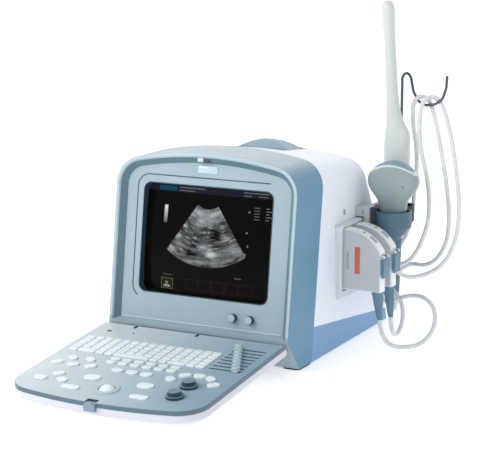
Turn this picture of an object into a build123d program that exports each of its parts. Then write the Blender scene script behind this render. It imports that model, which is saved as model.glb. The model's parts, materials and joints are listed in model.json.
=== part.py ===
from build123d import *
import math
import os

# Portable veterinary ultrasound scanner: a tube-monitor housing with a keyboard that folds up over
# the screen, two probes in a side holder and two probe cables hung over a wire hook.
# Millimetres. The model is drawn with x = 0 in the middle of the housing, y = 0 where the front rim
# plane meets the table and z = 0 on the table; the front faces -Y. On export every piece is moved so
# that the origin lies under the middle of the box around everything but the two cables.

# --- Driving dimensions ---
half_width = 143.0          # front frame
crown = 297.0               # top of the arch, measured up the rim plane
arch_radius = 555.0
corner_radius = 41.0
tilt = 7.7                  # lean of the screen plane, degrees
frame_depth = 82.0
rim = 4.5                   # width of the front rim
bezel_depth = 10.4          # bezel face behind the rim plane
bezel_inset = 14.2
bezel_thickness = 3.0
wall = 3.0
foot_height = 3.0
screen_width = 205.0
screen_height = 156.6
screen_centre = 172.8       # up the rim plane
tube_radius = 700.0         # curvature of the screen glass
split_height = 51.2         # colour split of the rear housing at its front
split_slope = 0.1148
rear_foot = 380.0           # y of the rear face at its foot
rear_lean = 0.21            # how far the rear face leans forward per millimetre of height
rear_break = 158.0          # height above which it leans forward more
upper_lean = 0.54
fit_gap = 0.3

key_top_height = 48.0       # keyboard top face at its rear edge
key_gap = 1.3
key_slope = 6.1             # degrees, falling to the front
key_thickness = 18.6
key_length = 266.0
grey_thickness = 6.5        # grey upper frame of the keyboard
hinge_forward = 5.5         # hinge axis, along and below the keyboard's top face
hinge_below = 9.3

cable_diameter = 6.5
wire_diameter = 4.0

sin_tilt = math.sin(math.radians(tilt))
cos_tilt = math.cos(math.radians(tilt))
sin_key = math.sin(math.radians(key_slope))
cos_key = math.cos(math.radians(key_slope))

# --- Frames of reference ---
rim_plane = Plane(origin=(0, 0, 0), x_dir=(1, 0, 0), z_dir=(0, -cos_tilt, sin_tilt))
side_plane = Plane.YZ
key_origin = (0, -key_gap, key_top_height)
key_plane = Plane(origin=key_origin, x_dir=(1, 0, 0), z_dir=(0, -sin_key, cos_key))


def behind(depth):
    """Plane parallel to the rim plane, this far behind it."""
    return rim_plane.offset(-depth)


def on_rim(u, v, depth=0.0):
    """Point of the housing from its place on the rim plane."""
    return rim_plane.from_local_coords((u, v, -depth))


def shifted_rim(back):
    """Rim plane moved straight back along Y."""
    return Plane(origin=(0, back, 0), x_dir=rim_plane.x_dir, z_dir=rim_plane.z_dir)


def on_keys(height=0.0):
    """Plane parallel to the keyboard's top face; local -y runs forward."""
    return key_plane.offset(height)


def arch_outline(half, top, bottom, corner, narrowing=0.0):
    """Upright outline with an arched top and an optional inward draft of its sides."""
    sag = arch_radius - math.sqrt(arch_radius**2 - (half - narrowing) ** 2)
    with BuildLine() as outline:
        Polyline(
            (-half + narrowing, top - sag), (-half, bottom), (half, bottom), (half - narrowing, top - sag))
        ThreePointArc((half - narrowing, top - sag), (0, top), (-half + narrowing, top - sag))
    with BuildSketch() as sketch:
        add(make_face(outline.edges(), mode=Mode.PRIVATE))
        fillet(sketch.vertices().sort_by(Axis.Y)[-2:], corner)
    return sketch.sketch


def side_prism(points, half):
    """Solid with this outline in the YZ plane, to both sides of the middle."""
    with BuildPart() as prism:
        with BuildSketch(side_plane):
            with BuildLine():
                Polyline(*points, close=True)
            make_face()
        extrude(amount=half, both=True)
    return prism.part


pieces = []


def finish(part_builder, label):
    """Name a finished piece and keep it for export."""
    part_builder.part.label = label
    pieces.append(part_builder.part)


# --- Hinge arms: fixed metal arms that carry the keyboard ---
hinge_point = key_plane.from_local_coords((0, -hinge_forward, -hinge_below))
hinge_y = hinge_point.Y
hinge_z = hinge_point.Z
arm_places = (-88.0, 11.0)
arm_thickness = 3.0
arm_end_radius = 5.0
pin_radius = 2.0
pin_half = 5.2
slot_width = 5.0
slot_reach = 12.9           # forward of the keyboard's rear edge
slot_floor = -15.3

with BuildPart() as hinge_arms:
    for x in arm_places:
        with BuildSketch(side_plane.offset(x - arm_thickness / 2)):
            with Locations((hinge_y, hinge_z)):
                Circle(arm_end_radius)
            with BuildLine():
                Polyline(
                    (hinge_y - 1, hinge_z + 4.8), (8, hinge_z + 5.5), (26, hinge_z + 5.5),
                    (26, hinge_z - 2.5), (hinge_y, hinge_z - 4.8), close=True)
            make_face()
            with Locations((hinge_y, hinge_z)):
                Circle(pin_radius + 0.05, mode=Mode.SUBTRACT)
        extrude(amount=arm_thickness)
finish(hinge_arms, "hinge_arms")

# --- Front frame: arched hoop with a slanted inner wall, a sill and two legs ---
void_foot = 40.95           # height at which the void's front edge meets the chin


def void_front(z):
    """y of the bezel's front plane at this height."""
    return (bezel_depth + z * sin_tilt) / cos_tilt


with BuildPart() as frame_void:
    with BuildSketch(shifted_rim(-20)):
        add(arch_outline(half_width - 4, crown - 4, -10, corner_radius - 4))
    extrude(amount=140, dir=(0, 1, 0))
    with BuildSketch(side_plane):
        with BuildLine():
            Polyline(
                (void_front(400), 400), (void_front(void_foot), void_foot), (44.9, 7), (200, 7), (200, 400),
                close=True)
        make_face()
    extrude(amount=200, both=True, mode=Mode.INTERSECT)

with BuildPart() as front_frame:
    with BuildSketch(rim_plane):
        add(arch_outline(half_width, crown, foot_height / cos_tilt, corner_radius))
    extrude(amount=frame_depth, dir=(0, 1, 0))
    rim_edges = front_frame.edges().filter_by(lambda e: abs(rim_plane.to_local_coords(e.center()).Z) < 0.01)
    fillet([e for e in rim_edges if e.center().Z > 20], 1.6)
    with BuildSketch(side_plane):
        with BuildLine():
            Polyline((-30, 46), (6.5, 46), (43, 2), (43, -20), (-30, -20), close=True)
        make_face()
    extrude(amount=200, both=True, mode=Mode.SUBTRACT)
    with BuildSketch(behind(-0.01)):
        add(arch_outline(half_width - rim, crown - rim, 50.5, corner_radius - rim))
    with BuildSketch(behind(bezel_depth + 0.01)):
        add(arch_outline(half_width - bezel_inset, crown - bezel_inset, 55.4, corner_radius - bezel_inset))
    loft(mode=Mode.SUBTRACT)
    add(frame_void.part, mode=Mode.SUBTRACT)
    add(hinge_arms.part, mode=Mode.SUBTRACT)
finish(front_frame, "front_frame")

# --- Bezel with the screen opening and its shroud ---
knob_places = ((52.0, 72.5), (78.4, 72.2))
glass_front = 14.0
with BuildPart() as front_bezel:
    with BuildSketch(behind(bezel_depth)):
        add(arch_outline(half_width - 4.3, crown - 4.3, 47.5, corner_radius - 4.3))
        with Locations((0, screen_centre)):
            RectangleRounded(screen_width, screen_height, 11, mode=Mode.SUBTRACT)
    extrude(amount=-bezel_thickness)
    with BuildSketch(behind(bezel_depth + bezel_thickness)):
        with Locations((0, screen_centre)):
            RectangleRounded(screen_width + 5, screen_height + 5, 13.5)
            RectangleRounded(screen_width, screen_height, 11, mode=Mode.SUBTRACT)
    extrude(amount=-18)
    with BuildSketch(behind(bezel_depth)):
        with Locations(*knob_places):
            Circle(3.3)
        with Locations((0, 290)):
            Rectangle(10, 3)
    extrude(amount=-bezel_thickness, mode=Mode.SUBTRACT)
    with Locations(Location(on_rim(0, screen_centre, glass_front + tube_radius))):
        Sphere(tube_radius + 0.3, mode=Mode.SUBTRACT)
finish(front_bezel, "front_bezel")

# --- Picture tube: glass, funnel with neck, deflection yoke ---
glass_back = 34.0
funnel_back = 130.0
neck_end = 232.0
with BuildPart() as screen_faceplate:
    with BuildSketch(behind(12)):
        with Locations((0, screen_centre)):
            RectangleRounded(219, 171, 22)
    extrude(amount=12 - glass_back)
    with Locations(Location(on_rim(0, screen_centre, glass_front + tube_radius))):
        Sphere(tube_radius, mode=Mode.INTERSECT)
finish(screen_faceplate, "screen_faceplate")


with BuildPart() as tube_funnel:
    for grow, mode in ((0, Mode.ADD), (-7, Mode.SUBTRACT)):
        with BuildSketch(behind(glass_back)):
            with Locations((0, screen_centre)):
                RectangleRounded(219 + grow, 171 + grow, 22 + grow / 2)
        with BuildSketch(behind(85)):
            with Locations((0, screen_centre)):
                RectangleRounded(120 + grow, 100 + grow, 30 + grow / 2)
        with BuildSketch(behind(funnel_back + grow)):
            with Locations((0, screen_centre)):
                RectangleRounded(44 + grow, 44 + grow, 21 + grow / 2)
        loft(mode=mode)
    with BuildSketch(behind(funnel_back)):
        with Locations((0, screen_centre)):
            Circle(14.5)
    extrude(amount=funnel_back - neck_end)
finish(tube_funnel, "tube_funnel")

with BuildPart() as deflection_yoke:
    for depth, radius, length in ((134, 44, 6), (140, 30, 28), (168, 36, 5)):
        with BuildSketch(behind(depth)):
            with Locations((0, screen_centre)):
                Circle(radius)
                Circle(14.9, mode=Mode.SUBTRACT)
        extrude(amount=-length)
finish(deflection_yoke, "deflection_yoke")

# --- Rear housing: one drafted form, split into a white upper and a blue lower shell ---
rear_corner_radius = 36.0
side_draft = 9.0            # how far each side leans inward up to the arch
edge_softness = 18.0


def rear_y(z, inset=0.0):
    """y of the rear face at this height, this far inside it."""
    below = rear_foot - rear_lean * (z - foot_height) - inset * math.hypot(1, rear_lean)
    above = rear_foot - rear_lean * (rear_break - foot_height) - upper_lean * (z - rear_break)
    return min(below, above - inset * math.hypot(1, upper_lean))


def rear_form(inset):
    """Closed form of the rear housing, this far inside its outer skin."""
    front_start = frame_depth - (5 if inset else 0)
    bottom = (foot_height + inset) / cos_tilt
    corner = rear_corner_radius - inset
    with BuildPart() as form:
        with BuildSketch(shifted_rim(front_start)):
            add(arch_outline(half_width - inset, crown - 5 - inset, bottom, corner, side_draft))
        with BuildSketch(shifted_rim(frame_depth + 300)):
            add(arch_outline(half_width - 4 - inset, crown - 31 - inset, bottom, corner, side_draft))
        loft()
        with BuildSketch(side_plane):
            with BuildLine():
                Polyline((rear_y(400, inset), 400), (-50, 400), (-50, -50), (rear_y(-50, inset), -50))
                FilletPolyline(
                    (rear_y(-50, inset), -50), (rear_y(rear_break, inset), rear_break),
                    (rear_y(400, inset), 400), radius=120)
            make_face()
        extrude(amount=200, both=True, mode=Mode.INTERSECT)
        rear_faces = form.faces().filter_by(lambda f: f.normal_at().Y > 0.8 and f.center().Y > 250)
        around = [e for e in rear_faces.edges() if abs(e.tangent_at(0.5).X) < 0.8 or e.center().Z > 250]
        fillet(around, edge_softness - inset)
    return form.part


outer_form = rear_form(0)
inner_form = rear_form(wall)


def split_z(y):
    return split_height - split_slope * (y - 94.6)


above_split = side_prism(((0, split_z(0)), (400, split_z(400)), (400, 400), (0, 400)), 200)
below_split = side_prism(((0, split_z(0)), (400, split_z(400)), (400, -50), (0, -50)), 200)

# --- Carrying handle: an arched grip across a well in the roof ---
handle_half = 45.0
well_half = 42.0
well_front = 196.0
well_back = 274.0
well_floor = 239.0
well_wall = 3.0

with BuildPart() as carry_handle:
    with BuildSketch(Plane.XY.offset(well_floor - well_wall)):
        with Locations((0, (well_front + well_back) / 2)):
            Rectangle(2 * handle_half, well_back - well_front + 2 * well_wall)
    extrude(amount=60)
    add(outer_form, mode=Mode.INTERSECT)
    with BuildSketch(Plane.XY.offset(well_floor)):
        with Locations((0, (well_front + well_back) / 2)):
            RectangleRounded(2 * well_half, well_back - well_front, 8)
    extrude(amount=60, mode=Mode.SUBTRACT)
    with BuildPart(mode=Mode.PRIVATE) as grip:
        with BuildSketch(side_plane):
            with BuildLine():
                Polyline(
                    (217, 266), (245, 266), (250, 272), (249, 282), (242, 289), (232, 292), (222, 289),
                    (214, 281), (213, 271), close=True)
            make_face()
        extrude(amount=handle_half, both=True)
        with BuildSketch(Plane.XZ):
            with BuildLine():
                Polyline((-handle_half, 277), (-handle_half, 262), (handle_half, 262), (handle_half, 277))
                ThreePointArc((handle_half, 277), (0, 291.5), (-handle_half, 277))
            make_face()
        extrude(amount=-400, mode=Mode.INTERSECT)
    add(grip.part)
finish(carry_handle, "carry_handle")

handle_seat = side_prism(
    ((well_front - well_wall, well_floor - well_wall), (well_back + well_wall, well_floor - well_wall),
     (well_back + well_wall, 310), (well_front - well_wall, 310)), handle_half)

# --- Connector plate on the right side ---
plate_front = 172.0
plate_back = 272.0
plate_low = 74.0
plate_high = 182.0
plate_face = 146.0
plate_floor = 140.0
with BuildPart() as connector_plate:
    with BuildSketch(side_plane.offset(130)):
        with Locations(((plate_front + plate_back) / 2, (plate_low + plate_high) / 2)):
            RectangleRounded(plate_back - plate_front, plate_high - plate_low, 4)
    extrude(amount=plate_face - 130)
    chamfer(connector_plate.faces().sort_by(Axis.X)[-1].edges(), 1.5)
    with BuildSketch(side_plane.offset(plate_floor)):
        with Locations(((plate_front + plate_back) / 2, (plate_low + plate_high) / 2 + 3)):
            RectangleRounded(plate_back - plate_front - 14, plate_high - plate_low - 14, 3)
    extrude(amount=20, mode=Mode.SUBTRACT)
finish(connector_plate, "connector_plate")
with BuildPart() as plate_cut:
    with BuildSketch(side_plane.offset(120)):
        with Locations(((plate_front + plate_back) / 2, (plate_low + plate_high) / 2)):
            Rectangle(plate_back - plate_front, plate_high - plate_low)
    extrude(amount=40)

# --- Rear panel ---
rear_plane = Plane(
    origin=(0, rear_foot, foot_height), x_dir=(-1, 0, 0),
    z_dir=(0, 1 / math.hypot(1, rear_lean), rear_lean / math.hypot(1, rear_lean)))
panel_centre = 88.0         # up the rear face
panel_width = 176.0
panel_height = 104.0
fan_place = (52.0, panel_centre + 8)
socket_places = ((-62, 118), (-38, 118), (-14, 118), (-62, 96), (-38, 96), (-14, 96))
inlet_place = (-56, 60)
switch_place = (-14, 60)

with BuildPart() as rear_panel:
    with BuildSketch(rear_plane.offset(-2.5)):
        with Locations((0, panel_centre)):
            RectangleRounded(panel_width, panel_height, 6)
        with Locations(fan_place):
            for ring in (26, 20, 14, 8):
                Circle(ring + 2, mode=Mode.SUBTRACT)
                Circle(ring - 1.6)
            Rectangle(58, 3)
            Rectangle(3, 58)
        with Locations(*socket_places):
            Circle(6.2, mode=Mode.SUBTRACT)
        with Locations(inlet_place):
            Rectangle(29, 21, mode=Mode.SUBTRACT)
        with Locations(switch_place):
            Rectangle(14.6, 21.6, mode=Mode.SUBTRACT)
    extrude(amount=2.5)
finish(rear_panel, "rear_panel")

with BuildPart() as upper_housing:
    add(outer_form)
    add(inner_form, mode=Mode.SUBTRACT)
    add(above_split, mode=Mode.INTERSECT)
    add(handle_seat, mode=Mode.SUBTRACT)
    add(plate_cut.part, mode=Mode.SUBTRACT)
    with BuildSketch(rear_plane.offset(-10)):
        with Locations((0, panel_centre)):
            RectangleRounded(panel_width, panel_height, 6)
    extrude(amount=20, mode=Mode.SUBTRACT)
finish(upper_housing, "upper_housing")

with BuildPart() as lower_housing:
    add(outer_form)
    add(inner_form, mode=Mode.SUBTRACT)
    add(below_split, mode=Mode.INTERSECT)
finish(lower_housing, "lower_housing")

# --- Rubber feet ---
with BuildPart() as feet:
    with BuildSketch(Plane.XY):
        with Locations((-128, 66), (128, 66)):
            RectangleRounded(26, 42, 6)
        with Locations((-118, 335), (118, 335)):
            Circle(11)
    extrude(amount=foot_height)
finish(feet, "feet")

# --- Electronics inside ---
with BuildPart() as main_board:
    with BuildSketch(Plane.XY.offset(16)):
        with Locations((0, 190)):
            Rectangle(240, 190)
    extrude(amount=1.6)
    with BuildSketch(Plane.XY.offset(17.6)):
        with Locations((-70, 240), (-20, 240), (30, 235)):
            Rectangle(28, 28)
        with Locations((-80, 150), (-40, 150), (0, 150), (70, 160)):
            Rectangle(18, 40)
    extrude(amount=4)
    with BuildSketch(Plane.XY.offset(6)):
        with Locations((-110, 110), (110, 110), (-110, 270), (110, 270)):
            Circle(4)
    extrude(amount=10)
finish(main_board, "main_board")

with BuildPart() as power_supply:
    with BuildSketch(Plane.XY.offset(36)):
        with Locations((-88, 215)):
            Rectangle(70, 120)
    extrude(amount=50)
    fillet(power_supply.edges().filter_by(Axis.Z), 3)
finish(power_supply, "power_supply")

with BuildPart() as fan_frame:
    with BuildSketch(rear_plane.offset(-22.5)):
        with Locations(fan_place):
            RectangleRounded(60, 60, 4)
            Circle(28, mode=Mode.SUBTRACT)
            Rectangle(58, 3)
            Circle(9)
    extrude(amount=3)
    with BuildSketch(rear_plane.offset(-19.5)):
        with Locations(fan_place):
            RectangleRounded(60, 60, 4)
            Circle(28, mode=Mode.SUBTRACT)
    extrude(amount=17)
finish(fan_frame, "fan_frame")

fan_blades = 7
with BuildPart() as fan_rotor:
    with BuildSketch(rear_plane.offset(-19.0)):
        with Locations(fan_place):
            Circle(10.5)
    extrude(amount=14)
    with BuildSketch(rear_plane.offset(-17.0)):
        with Locations(fan_place):
            with PolarLocations(17.5, fan_blades):
                Rectangle(18, 5)
    extrude(amount=10)
finish(fan_rotor, "fan_rotor")

with BuildPart() as rear_sockets:
    with BuildSketch(rear_plane.offset(-12)):
        with Locations(*socket_places):
            Circle(4.4)
        with Locations(inlet_place):
            Rectangle(28.8, 20.8)
            Rectangle(22, 14, mode=Mode.SUBTRACT)
    extrude(amount=13.5)
    with BuildSketch(rear_plane):
        with Locations(*socket_places):
            Circle(6.1)
            Circle(4.4, mode=Mode.SUBTRACT)
    extrude(amount=3)
    with BuildSketch(rear_plane.offset(-14)):
        with Locations(*socket_places):
            Circle(6.1)
        with Locations(inlet_place):
            Rectangle(28.8, 20.8)
    extrude(amount=2)
    with BuildSketch(rear_plane.offset(-16)):
        with Locations(switch_place):
            Rectangle(14.4, 21.4)
            Rectangle(11.4, 18.4, mode=Mode.SUBTRACT)
    extrude(amount=17)
finish(rear_sockets, "rear_sockets")

with BuildPart() as power_switch:
    with BuildSketch(Plane.YZ.offset(-switch_place[0] - 5)):
        with BuildLine():
            rocker_points = [rear_plane.from_local_coords((0, switch_place[1] + s, n)) for s, n in (
                (-8, 0.5), (-7.6, 4.5), (0, 2.2), (7.6, 1.2), (8, -2), (5, -7), (-5, -7))]
            Polyline(*[(p.Y, p.Z) for p in rocker_points], close=True)
        make_face()
    extrude(amount=10)
finish(power_switch, "power_switch")

# --- Front knobs ---
for name, (u, v) in zip(("brightness_knob", "contrast_knob"), knob_places):
    with BuildPart() as knob:
        with BuildSketch(behind(bezel_depth - 0.4)):
            with Locations((u, v)):
                Circle(6)
        extrude(amount=7.6)
        fillet(knob.faces().sort_by(Axis.Y)[0].edges(), 1.2)
        with BuildSketch(behind(bezel_depth - 0.4)):
            with Locations((u, v)):
                Circle(3)
        extrude(amount=-8)
    finish(knob, name)

# --- Keyboard: a tray on two pins, with its controls on the upper face ---
# Local coordinates on its top face: x across, l forward of its rear edge, n above the face.
key_half = 143.0
rear_start = -3.8           # l of the rear edge, just behind the hinge axis
alpha_rows = (112.0, 100.5, 89.0, 77.5, 66.0)
alpha_left = -131.0
alpha_pitch = 14.07
alpha_count = 15
key_depth = 9.6
key_rise = 2.4
# Oval keys: x, distance forward of the rear edge, length, width, turn
left_ovals = (
    (-118, 163, 17, 11, 35), (-106, 143, 17, 11, -35), (-92, 164.5, 17, 11, 35), (-79, 141.5, 17, 11, -35),
    (-66, 162.5, 17, 11, 35), (-108, 218, 20, 12, 0), (-91.5, 199, 17, 11, 30), (-75.6, 216, 17, 12, -30),
    (-51.6, 233.7, 27, 10, 0), (-41.7, 195.7, 24, 15, 0))
small_columns = (-48.5, -29.9, -11.3, 7.3, 25.9, 44.5)
small_pair_rows = (127.7, 140.2)
right_ovals = (
    (-24, 162.4, 17, 11, 0), (-2, 162.4, 17, 11, 0), (20, 162.4, 17, 11, 0), (38.8, 196.6, 24, 15, 0),
    (50, 232.4, 27, 10, 0), (57.2, 164.4, 17, 12, -35), (69.6, 147, 17, 11, 35), (88.6, 142.7, 17, 11, 0),
    (106.9, 147, 17, 11, -35), (120.3, 164.5, 17, 12, 35))
encoder_places = ((92.5, 178.5), (92.5, 215.0))
ball_place = (-3.0, 222.0)
ball_radius = 12.7
ball_level = -6.6           # centre of the ball below the face
slider_count = 8
slider_first = 36.0
slider_pitch = 10.7
slider_left = 85.5
slider_right = 131.5


def tray_outline(inset=0.0):
    """Keyboard outline seen from above, arched at its front like the housing's top."""
    half = key_half - inset
    front = key_length - inset
    sag = arch_radius - math.sqrt(arch_radius**2 - half**2)
    with BuildLine() as outline:
        Polyline(
            (-half, sag - front), (-half, -rear_start - inset),
            (half, -rear_start - inset), (half, sag - front))
        ThreePointArc((half, sag - front), (0, -front), (-half, sag - front))
    with BuildSketch() as sketch:
        add(make_face(outline.edges(), mode=Mode.PRIVATE))
        fillet(sketch.vertices().sort_by(Axis.Y)[:2], corner_radius)
    return sketch.sketch


def ovals(rows, grow=0.0):
    """Tilted oval keys, or the openings around them."""
    with BuildSketch() as sketch:
        for x, forward, long, short, turn in rows:
            with Locations(Location((x, -forward, 0), (0, 0, turn))):
                SlotOverall(long + grow, short + grow)
    return sketch.sketch


def alpha_row(row, grow=0.0):
    """One row of typing keys; the row nearest the user has wide keys at its ends."""
    with BuildSketch() as sketch:
        x = alpha_left
        widths = [alpha_pitch] * alpha_count
        if row == 0:
            widths = [alpha_pitch * w for w in (1, 2, 1, 1, 4, 1, 1, 2, 1, 1)]
        for width in widths:
            with Locations((x + width / 2, -alpha_rows[row])):
                RectangleRounded(width - 1.7 + grow, key_depth + grow, 1.2)
            x += width
    return sketch.sketch


def small_pairs(grow=0.0):
    with BuildSketch() as sketch:
        for forward in small_pair_rows:
            for x in small_columns:
                with Locations((x, -forward)):
                    SlotOverall(14 + grow, 7.6 + grow)
    return sketch.sketch


def arm_slots(depth_low):
    """Slots in the tray's rear edge that the fixed hinge arms stand in."""
    with BuildPart() as slots:
        with BuildSketch(on_keys(1)):
            for x in arm_places:
                with Locations((x, -slot_reach)):
                    Rectangle(slot_width, 2 * slot_reach, align=(Align.CENTER, Align.MIN))
        extrude(amount=depth_low - 1)
    return slots.part


opening_gap = 2 * fit_gap
latch_x = -1.0
latch_half = 8.0
latch_root = 259.5
latch_tip = 270.3
latch_bottom = -11.6
latch_top = -1.5
with BuildPart() as latch_pocket:
    with BuildSketch(on_keys(latch_bottom - 0.6)):
        with Locations((latch_x, -latch_root + 3.2)):
            Rectangle(2 * latch_half + opening_gap, 20, align=(Align.CENTER, Align.MAX))
    extrude(amount=1.6 - latch_bottom)
tray_corners = [
    key_plane.from_local_coords((0, -forward, height))
    for forward, height in (
        (hinge_forward, 0), (300, 0), (300, -key_thickness), (hinge_forward, -key_thickness))]
with BuildPart() as tray_barrel:
    with BuildSketch(side_plane):
        with BuildLine():
            Polyline(*[(corner.Y, corner.Z) for corner in tray_corners], close=True)
        make_face()
        with Locations((hinge_y, hinge_z)):
            Circle(hinge_below)
    extrude(amount=200, both=True)

with BuildPart() as keyboard_top:
    with BuildSketch(on_keys(-grey_thickness)):
        add(tray_outline())
    extrude(amount=grey_thickness)
    fillet(keyboard_top.edges().filter_by(lambda e: abs(key_plane.to_local_coords(e.center()).Z) < 0.01), 2.0)
    with BuildSketch(on_keys(-grey_thickness)):
        add(tray_outline(5))
        with Locations((0, -18)):
            Rectangle(400, 60, align=(Align.CENTER, Align.MIN), mode=Mode.SUBTRACT)
    extrude(amount=grey_thickness - 2.5, mode=Mode.SUBTRACT)
    add(tray_barrel.part, mode=Mode.INTERSECT)
    add(arm_slots(slot_floor), mode=Mode.SUBTRACT)
    with BuildSketch(on_keys(1)):
        for row in range(len(alpha_rows)):
            add(alpha_row(row, opening_gap))
        add(ovals(left_ovals, opening_gap))
        add(ovals(right_ovals, opening_gap))
        add(small_pairs(opening_gap))
        with Locations((ball_place[0], -ball_place[1])):
            Circle(17.2)
        with Locations(*[(x, -forward) for x, forward in encoder_places]):
            Circle(3.3)
        with Locations(*[((slider_left + slider_right) / 2, -(slider_first + i * slider_pitch))
                         for i in range(slider_count)]):
            Rectangle(slider_right - slider_left, 3.2)
        with Locations((-116, -33)):
            Rectangle(8, 4)
    extrude(amount=-9, mode=Mode.SUBTRACT)
    add(latch_pocket.part, mode=Mode.SUBTRACT)
finish(keyboard_top, "keyboard_top")

with BuildPart() as keyboard_base:
    with BuildSketch(on_keys(-grey_thickness)):
        add(tray_outline(0.6))
    extrude(amount=grey_thickness - key_thickness)
    fillet(keyboard_base.edges().filter_by(
        lambda e: abs(key_plane.to_local_coords(e.center()).Z + key_thickness) < 0.01), 5)
    with BuildSketch(on_keys(-grey_thickness)):
        add(tray_outline(6))
        with Locations((0, -18)):
            Rectangle(400, 60, align=(Align.CENTER, Align.MIN), mode=Mode.SUBTRACT)
    extrude(amount=-(key_thickness - grey_thickness - 2.5), mode=Mode.SUBTRACT)
    add(tray_barrel.part, mode=Mode.INTERSECT)
    add(arm_slots(slot_floor), mode=Mode.SUBTRACT)
    add(latch_pocket.part, mode=Mode.SUBTRACT)
    for x in arm_places:
        with BuildSketch(side_plane.offset(x - pin_half)):
            with Locations((hinge_y, hinge_z)):
                Circle(pin_radius)
        extrude(amount=2 * pin_half, mode=Mode.SUBTRACT)
    with BuildSketch(on_keys(-key_thickness)):
        with Locations((ball_place[0], -ball_place[1])):
            Circle(15)
    extrude(amount=-2.4)
    with BuildSketch(on_keys(-key_thickness + 3)):
        with Locations((ball_place[0], -ball_place[1])):
            Circle(13.4)
    extrude(amount=-4, mode=Mode.SUBTRACT)
    with BuildSketch(on_keys(-key_thickness)):
        with Locations((-110, -225), (110, -225)):
            RectangleRounded(34, 12, 3)
    extrude(amount=-2)
finish(keyboard_base, "keyboard_base")

with BuildPart() as hinge_pins:
    for x in arm_places:
        with BuildSketch(side_plane.offset(x - pin_half)):
            with Locations((hinge_y, hinge_z)):
                Circle(pin_radius)
        extrude(amount=2 * pin_half)
finish(hinge_pins, "hinge_pins")

with BuildPart() as keyboard_board:
    with BuildSketch(on_keys(-12.6)):
        add(tray_outline(9))
        with Locations((0, -24)):
            Rectangle(400, 60, align=(Align.CENTER, Align.MIN), mode=Mode.SUBTRACT)
        with Locations((ball_place[0], -ball_place[1])):
            Circle(21, mode=Mode.SUBTRACT)
    extrude(amount=1.6)
finish(keyboard_board, "keyboard_board")


def key_group(name, sketch, rise=key_rise):
    """Key caps that stand above the face and reach through it."""
    with BuildPart() as group:
        with BuildSketch(on_keys(-4.4)):
            add(sketch)
        extrude(amount=4.4 + rise)
        cap_edges = group.edges().filter_by(
            lambda e: abs(key_plane.to_local_coords(e.center()).Z - rise) < 0.01)
        chamfer(cap_edges, 0.5)
    finish(group, name)


for row in range(len(alpha_rows)):
    key_group(f"key_row_{row + 1}", alpha_row(row))
key_group("left_function_keys", ovals(left_ovals))
key_group("small_pair_keys", small_pairs())
key_group("right_function_keys", ovals(right_ovals))

for i in range(slider_count):
    forward = slider_first + i * slider_pitch
    rest_x = 90.5 + 34.0 * i / (slider_count - 1)
    with BuildPart() as slider:
        with BuildSketch(on_keys(0.5)):
            with Locations((rest_x, -forward)):
                RectangleRounded(8.6, 9.9, 1.2)
        extrude(amount=7)
        chamfer(slider.faces().sort_by(Axis.Z)[-1].edges(), 1.2)
        with BuildSketch(on_keys(-4)):
            with Locations((rest_x, -forward)):
                Rectangle(5, 2.2)
        extrude(amount=4.5)
    finish(slider, f"gain_slider_{i + 1}")

for name, (x, forward) in zip(("near_encoder", "far_encoder"), reversed(encoder_places)):
    with BuildPart() as encoder:
        with BuildSketch(on_keys(0.5)):
            with Locations((x, -forward)):
                Circle(12)
        extrude(amount=3)
        with BuildSketch(on_keys(3.5)):
            with Locations((x, -forward)):
                Circle(9)
        extrude(amount=6)
        fillet(encoder.faces().sort_by(Axis.Z)[-1].edges(), 1)
        with BuildSketch(on_keys(-5)):
            with Locations((x, -forward)):
                Circle(3)
        extrude(amount=5.5)
    finish(encoder, name)

ball_centre = key_plane.from_local_coords((ball_place[0], -ball_place[1], ball_level))
with BuildPart() as trackball:
    with Locations(Location(ball_centre)):
        Sphere(ball_radius)
finish(trackball, "trackball")

with BuildPart() as trackball_ring:
    for low, high, bore in ((-5, -1, 13.2), (-1, 1.8, 11.8)):
        with BuildSketch(on_keys(low)):
            with Locations((ball_place[0], -ball_place[1])):
                Circle(17.1)
                Circle(bore, mode=Mode.SUBTRACT)
        extrude(amount=high - low)
    chamfer(trackball_ring.faces().sort_by(Axis.Z)[-1].outer_wire().edges(), 1)
finish(trackball_ring, "trackball_ring")

with BuildPart() as keyboard_latch:
    with BuildSketch(on_keys(latch_bottom)):
        with Locations((latch_x, -latch_root)):
            Rectangle(2 * latch_half, latch_tip - latch_root, align=(Align.CENTER, Align.MAX))
    extrude(amount=latch_top - latch_bottom)
    with BuildSketch(on_keys(-3)):
        with Locations((latch_x, -latch_tip)):
            Rectangle(2 * latch_half - 6, 2, align=(Align.CENTER, Align.MIN))
    extrude(amount=4)
    chamfer(keyboard_latch.edges().filter_by(lambda e: e.length > 9 and abs(e.tangent_at(0.5).X) > 0.9), 0.5)
finish(keyboard_latch, "keyboard_latch")

# --- Probe connectors on the right side, each with a lock lever on its outer end ---
connector_fronts = (181.0, 223.0)
connector_width = 19.0
connector_low = 88.0
connector_outer = 204.0
lug_width = 4.0
lug_radius = 2.4
lever_pin_radius = 1.2
lever_x = connector_outer + 2.7
lever_z = 140.0
lever_bottom = 110.0
relief_lean = 4.0
relief_top = connector_low
relief_x = 196.0
relief_ends = (47.0, 42.0)

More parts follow.
